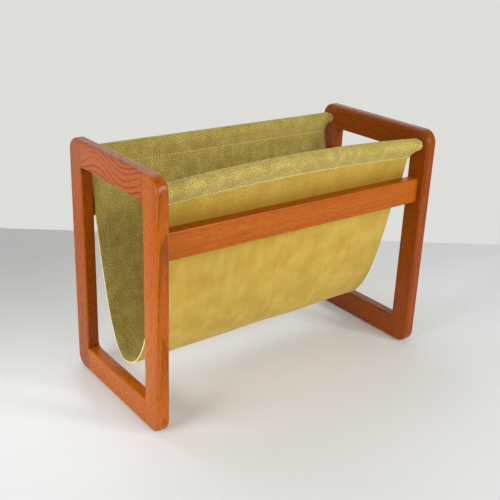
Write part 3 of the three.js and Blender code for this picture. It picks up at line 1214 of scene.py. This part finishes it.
@dataclass(frozen=True)
class SoftLight:
    """A large soft lamp that points at the rack."""

    name: str
    place: tuple[float, float, float]
    aim: tuple[float, float, float]
    size: tuple[float, float]
    power: float
    spread: float = math.pi

    def build(self) -> None:
        """Adds the lamp."""
        lamp = bpy.data.lights.new(self.name, "AREA")
        lamp.shape = "RECTANGLE"
        lamp.size, lamp.size_y = self.size
        lamp.energy = self.power
        lamp.spread = self.spread
        holder = bpy.data.objects.new(self.name, lamp)
        holder.location = self.place
        holder.rotation_euler = (Vector(self.aim) - Vector(self.place)).to_track_quat("-Z", "Y").to_euler()
        holder.visible_camera = False
        bpy.context.scene.collection.objects.link(holder)


@dataclass(frozen=True)
class Studio:
    """A pale table top that ends behind the rack, a pale room beyond it, and soft lamps.

    The shares are of the room's light: from the near side, from beyond the table, and from high up.
    """

    lights: tuple[SoftLight, ...]
    edge_bearing: float = math.radians(-36.7)
    edge_distance: float = 0.518
    front_distance: float = 0.66
    half_length: float = 1.1
    table: str = "#DADCDC"
    cloud_width: float = 1 / 3
    cloud_tones: tuple[float, float] = (0.985, 1.015)
    room: str = "#DEDEDA"
    near_share: float = 0.04
    far_share: float = 1.5
    away_span: tuple[float, float] = (-0.3, 0.6)
    high_share: float = 0.35
    high_span: tuple[float, float] = (0.4, 0.62)

    @property
    def away(self) -> np.ndarray:
        """Unit vector from the rack to the middle of the table's far edge."""
        return np.array([-math.sin(self.edge_bearing), math.cos(self.edge_bearing), 0])

    def table_material(self) -> Material:
        """Painted board, rolled on and rubbed down: an even matt off-white with a faint cloudiness.

        Returns:
            The material.
        """
        material, tree = new_material("painted_board")
        place = add_node(tree, "TexCoord", {}, "Object")
        noise = add_node(tree, "TexNoise", {"Vector": place, "Scale": 1 / self.cloud_width}, "Fac")
        tone = add_node(tree, "MapRange", [noise, 0.0, 1.0, *self.cloud_tones])
        paint = {0: linear(self.table)[:3], "Scale": tone}
        colour = add_node(tree, "VectorMath", paint, operation="SCALE")
        look = {"Base Color": colour, "Roughness": 0.6, "Specular IOR Level": 0.3}
        add_node(tree, "OutputMaterial", {"Surface": add_node(tree, "BsdfPrincipled", look)})
        return material

    def build(self) -> None:
        """Builds the table top, the room's light and the lamps."""
        away = self.away
        along = np.array([away[1], -away[0], 0]) * self.half_length
        back, front = away * self.edge_distance, away * -self.front_distance
        corners = [back - along, front - along, front + along, back + along]
        mesh = bpy.data.meshes.new("table_top")
        mesh.from_pydata([tuple(corner) for corner in corners], [], [(0, 1, 2, 3)])
        mesh.materials.append(self.table_material())
        table = bpy.data.objects.new("table_top", mesh)
        bpy.context.scene.collection.objects.link(table)
        self.build_room()
        for light in self.lights:
            light.build()
        log.info("studio: table top and %d lamps", len(self.lights))

    def build_room(self) -> None:
        """Sets the room: a pale wall past the table's far edge, and a dimmer room on the near side.

        The room's light grows with the share of a direction that points away, and a bare view of the
        room is pale everywhere.
        """
        world = bpy.data.worlds.new("pale_room")
        world.use_nodes = True
        tree = world.node_tree
        tree.nodes.clear()
        direction = add_node(tree, "TexCoord", {}, "Generated")
        height = add_node(tree, "SeparateXYZ", [direction], "Z")
        high = [height, *self.high_span, 1.0, self.high_share]
        fade = add_node(tree, "MapRange", high, interpolation_type="SMOOTHSTEP")
        away = [direction, tuple(self.away)]
        towards = add_node(tree, "VectorMath", away, "Value", operation="DOT_PRODUCT")
        sides = [towards, *self.away_span, self.near_share, self.far_share]
        share = add_node(tree, "MapRange", sides, interpolation_type="SMOOTHSTEP")
        light = add_node(tree, "Math", [share, fade], operation="MULTIPLY")
        bare = add_node(tree, "LightPath", {}, "Is Camera Ray")
        strength = add_node(tree, "Mix", {0: bare, 2: light, 3: 1.0}, data_type="FLOAT")
        glow = add_node(tree, "Background", [linear(self.room), strength])
        add_node(tree, "OutputWorld", {"Surface": glow})
        bpy.context.scene.world = world
        bpy.context.scene.view_settings.view_transform = "Standard"


@dataclass(frozen=True)
class Viewpoint:
    """The camera: where it stands round the rack, how far off, and its lens and sensor in millimetres."""

    azimuth: float = math.radians(-37.52)
    elevation: float = math.radians(22.2)
    roll: float = math.radians(2.24)
    distance: float = 1.26769
    aim: tuple[float, float, float] = (-0.01199, 0.0, 0.18177)
    lens: float = 58.861
    sensor: float = 36.0

    def build(self) -> None:
        """Adds the camera and makes it the scene's own.

        The camera stands off from the aim point along its bearing, looks back at it, and is then rolled
        about its own line of sight.
        """
        sin_a, cos_a = math.sin(self.azimuth), math.cos(self.azimuth)
        sin_e, cos_e = math.sin(self.elevation), math.cos(self.elevation)
        off = Vector((sin_a * cos_e, -cos_a * cos_e, sin_e))
        right = (-off).cross(Vector((0, 0, 1))).normalized()
        up = right.cross(-off)
        x_axis = right * math.cos(self.roll) + up * math.sin(self.roll)
        y_axis = up * math.cos(self.roll) - right * math.sin(self.roll)
        data = bpy.data.cameras.new("camera")
        data.sensor_fit = "HORIZONTAL"
        data.sensor_width = self.sensor
        data.lens = self.lens
        camera = bpy.data.objects.new("camera", data)
        turn = Matrix((x_axis, y_axis, off)).transposed().to_4x4()
        camera.matrix_world = Matrix.Translation(Vector(self.aim) + off * self.distance) @ turn
        bpy.context.scene.collection.objects.link(camera)
        bpy.context.scene.camera = camera
        log.info("camera %.3f m off", self.distance)


# ---------------------------------------------------------------- the rack


def teak_finishes() -> dict[str, OiledTeak]:
    """Gives each wooden member its own cut of the stem.

    Returns:
        A finish for each member's CAD name.
    """
    up, depth, along = GrainRun.UP, GrainRun.DEPTH, GrainRun.ALONG
    # Painted shade: darker early wood for the right frame and the left back post, standing for the shade on
    # them.
    deep = {"early": "#994A07", "early_red": "#833803"}
    post_bend = {"wander": 3.5, "sway": 0.8 * MM, "sway_length": 330 * MM}
    # The left top rail is cut across a bend of the stem: wide, dark, flowing lines.
    bold = {
        "wander": 5.5,
        "sway": 8 * MM,
        "sway_length": 140 * MM,
        "line_start": 0.5,
        "early": "#A04A10",
        "late": "#451706",
    }
    # Each cut is given by the stem's middle line and its lean, the ring width, and how dark its lines are.
    # The cuts given deep carry painted shade in their darker early wood.
    cuts = [
        OiledTeak("left_front_post", up, (-0.240, -0.150, 0), (0.03, 0, 0), 3.6 * MM, 0.55, **post_bend),
        OiledTeak("left_back_post", up, (-0.236, 0.190, 0.1), (0.015, -0.01, 0), 4.4 * MM, 0.4, **deep),
        OiledTeak("left_top_rail", depth, (-0.285, 0, 0.252), (0, 0.03, 0.02), 7.6 * MM, 0.85, **bold),
        OiledTeak("left_bottom_rail", depth, (-0.232, 0, -0.12), (0.01, 0.012, 0), 4.6 * MM, 0.35),
        OiledTeak("right_front_post", up, (0.205, -0.200, 0.05), (-0.012, 0.01, 0), 4.2 * MM, 0.45, **deep),
        OiledTeak("right_back_post", up, (0.262, 0.185, 0.05), (0.012, 0.014, 0), 4.0 * MM, 0.4, **deep),
        OiledTeak("right_top_rail", depth, (0.200, 0, 0.27), (0.02, 0, 0), 5.0 * MM, 0.4, **deep),
        OiledTeak("right_bottom_rail", depth, (0.21, 0, 0.11), (0.015, 0.01, 0), 4.4 * MM, 0.4, **deep),
        OiledTeak("front_side_rail", along, (0, -0.165, 0.225), (0, 0.006, 0.012), 4.6 * MM, 0.3),
        OiledTeak("back_side_rail", along, (0, 0.16, 0.30), (0, -0.008, 0.01), 4.4 * MM, 0.35),
    ]
    return {cut.name: cut for cut in cuts}


def sling_finishes() -> list[BrushedSuede | CutOrThread]:
    """Chooses the sling's three finishes.

    Returns:
        The smooth face, the rough face and the cut edge.
    """
    smooth_face = BrushedSuede(
        "brushed_suede_smooth_face",
        pale="#C1A34C",
        deep="#AF8D37",
        speckle_dark="#846921",
        speckle=0.25,
        speckle_width=1.55 * MM,
        cloud=0.85,
        cloud_width=38 * MM,
        sheen=0.25,
        # Painted shade above the side rail, with a more speckled nap there.
        shade_and_nap_band=ShadeAndNapBand(),
    )
    rough_face = BrushedSuede(
        "brushed_suede_rough_face",
        pale="#CEB867",
        deep="#AC994B",
        speckle_dark="#5C5020",
        speckle=0.72,
        speckle_width=1.65 * MM,
        cloud=0.75,
        cloud_width=18 * MM,
        sheen=0.3,
    )
    return [smooth_face, rough_face, CutOrThread("cut_suede_edge", "#DED2A2", "#C6B67E", 0.8 * MM)]


def build_sling(rods: tuple[Rod, Rod]) -> None:
    """Args:
        rods: the front and the back rod.
    """
    sling = Sling(rods)
    surface = sling.surface()
    sheet = sling.build(surface, [finish.material() for finish in sling_finishes()])
    thread = CutOrThread("waxed_cotton_thread", "#EFE5B8", "#DCCB88", 0.5 * MM).material()
    stitching = [
        HemStitching(f"{face}_hem_stitches").build(sling.stitch_lines(index, surface), thread)
        for index, face in enumerate(("front", "back"))
    ]
    area = surface.flat_area()


def dress_pins(material: Material) -> None:
    """Gives the hidden glued pins their beech finish.

    Args:
        material: the pins' material.
    """
    pins = [node for name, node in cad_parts.items() if name.endswith("_pin")]
    for pin in pins:
        pin.data.materials.clear()
        pin.data.materials.append(material)
    log.info("%d pins dressed", len(pins))


def main() -> None:
    """Builds the rack piece by piece, then its studio and its camera."""
    logging.basicConfig(level=logging.INFO, format="%(name)s: %(message)s")
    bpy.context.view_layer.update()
    finishes = teak_finishes()
    for side in ("left", "right"):
        EndFrame(side, finishes).build()
    for face in ("front", "back"):
        SideRail(face, finishes[f"{face}_side_rail"]).build()
    beech = SandedBeech().material()
    free_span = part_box("right_front_post")[0].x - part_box("left_front_post")[1].x
    rods = (Rod("front", free_span), Rod("back", free_span))
    for rod in rods:
        rod.build(beech)
    dress_pins(beech)
    build_sling(rods)
    lights = (
        SoftLight("front_softbox", (0.15, -1.9, 0.7), (0, 0, 0.15), (1.6, 1.0), 33),
        SoftLight("right_softbox", (0.9, -1.5, 1.2), (0, 0, 0.2), (0.36, 0.32), 12),
        SoftLight(
            "left_lamp", (-0.82, -0.08, 0.32), (-0.25, 0, 0.2), (0.6, 0.4), 1.8, math.radians(80)
        ),
        SoftLight("back_top_softbox", (-0.1, 1.2, 2.0), (-0.1, 0, 0.15), (2.0, 1.5), 17.2),
    )
    Studio(lights).build()
    Viewpoint().build()


if __name__ == "__main__":
    main()
